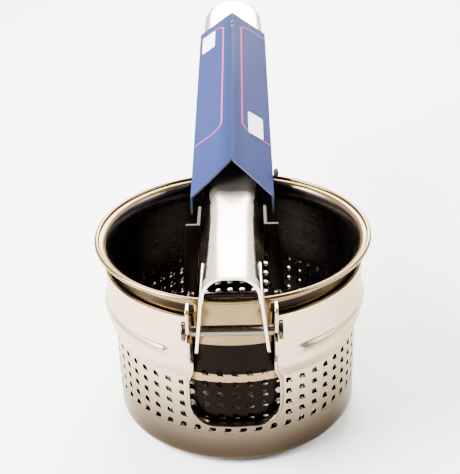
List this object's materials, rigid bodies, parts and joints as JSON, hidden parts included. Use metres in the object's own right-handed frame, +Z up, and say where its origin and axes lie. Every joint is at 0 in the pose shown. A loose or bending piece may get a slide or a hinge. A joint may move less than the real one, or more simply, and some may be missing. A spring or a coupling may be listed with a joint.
{
  "type": "potato ricer",
  "caption": "Hand-squeezed stainless-steel potato ricer: perforated cup in a notched drum, hinged press handle, fixed handle and a folded card sleeve.",
  "frame": {"origin": "centre of the underside of the drum's base disc, on which the ricer stands", "axes": "+Z up along the drum's axis; +Y from the hinge at the front towards the handles' ends at the back; +X to the right of a person who faces the hinge"},
  "size_m": [0.1, 0.248, 0.1087],
  "materials": {
    "brushed_stainless": "satin brushed stainless steel with soft warm reflections",
    "polished_stainless": "polished stainless steel, lightly scuffed",
    "printed_card": "slate-blue printed card with pink outline rules, satin varnish",
    "white_label": "blank white label"
  },
  "bodies": {
    "frame": {"drum_frame": "brushed_stainless", "drum_base": "brushed_stainless", "cup_basket": "brushed_stainless", "hinge_pin": "polished_stainless", "hinge_pin_cap_left": "polished_stainless", "hinge_pin_cap_right": "polished_stainless", "handle_saddle": "brushed_stainless", "saddle_rivet_1": "brushed_stainless", "saddle_rivet_2": "brushed_stainless", "saddle_rivet_3": "brushed_stainless", "saddle_rivet_4": "brushed_stainless", "lower_handle": "polished_stainless"},
    "upper_lever": {"upper_handle": "polished_stainless", "press_hanger_left": "brushed_stainless", "press_hanger_right": "brushed_stainless", "press_pivot_pin": "polished_stainless", "pivot_washer_left": "polished_stainless", "pivot_washer_right": "polished_stainless"},
    "press": {"press_yoke": "brushed_stainless", "press_plate": "brushed_stainless", "yoke_rivet_left": "brushed_stainless", "yoke_rivet_right": "brushed_stainless"},
    "sleeve": {"card_sleeve": "printed_card", "label_left": "white_label", "label_right": "white_label", "sleeve_stud_near": "polished_stainless", "sleeve_stud_far": "polished_stainless", "sleeve_tie": "printed_card"}
  },
  "joints": [
    {"name": "handle_hinge", "type": "hinge", "parent": "frame", "child": "upper_lever", "pos_m": [0, -0.0538, 0.0628], "axis": [1, 0, 0], "range_deg": [0, 75]},
    {"name": "press_pivot", "type": "hinge", "parent": "upper_lever", "child": "press", "pos_m": [0, 0, 0.043], "axis": [1, 0, 0], "range_deg": [-75, 0]},
    {"name": "sleeve_slide", "type": "slide", "parent": "upper_lever", "child": "sleeve", "axis": [0, 0.9898, 0.1426], "range_m": [0, 0.175]}
  ],
  "couplings": [
    {"joint": "press_pivot", "follows": "handle_hinge", "ratio": -1}
  ]
}
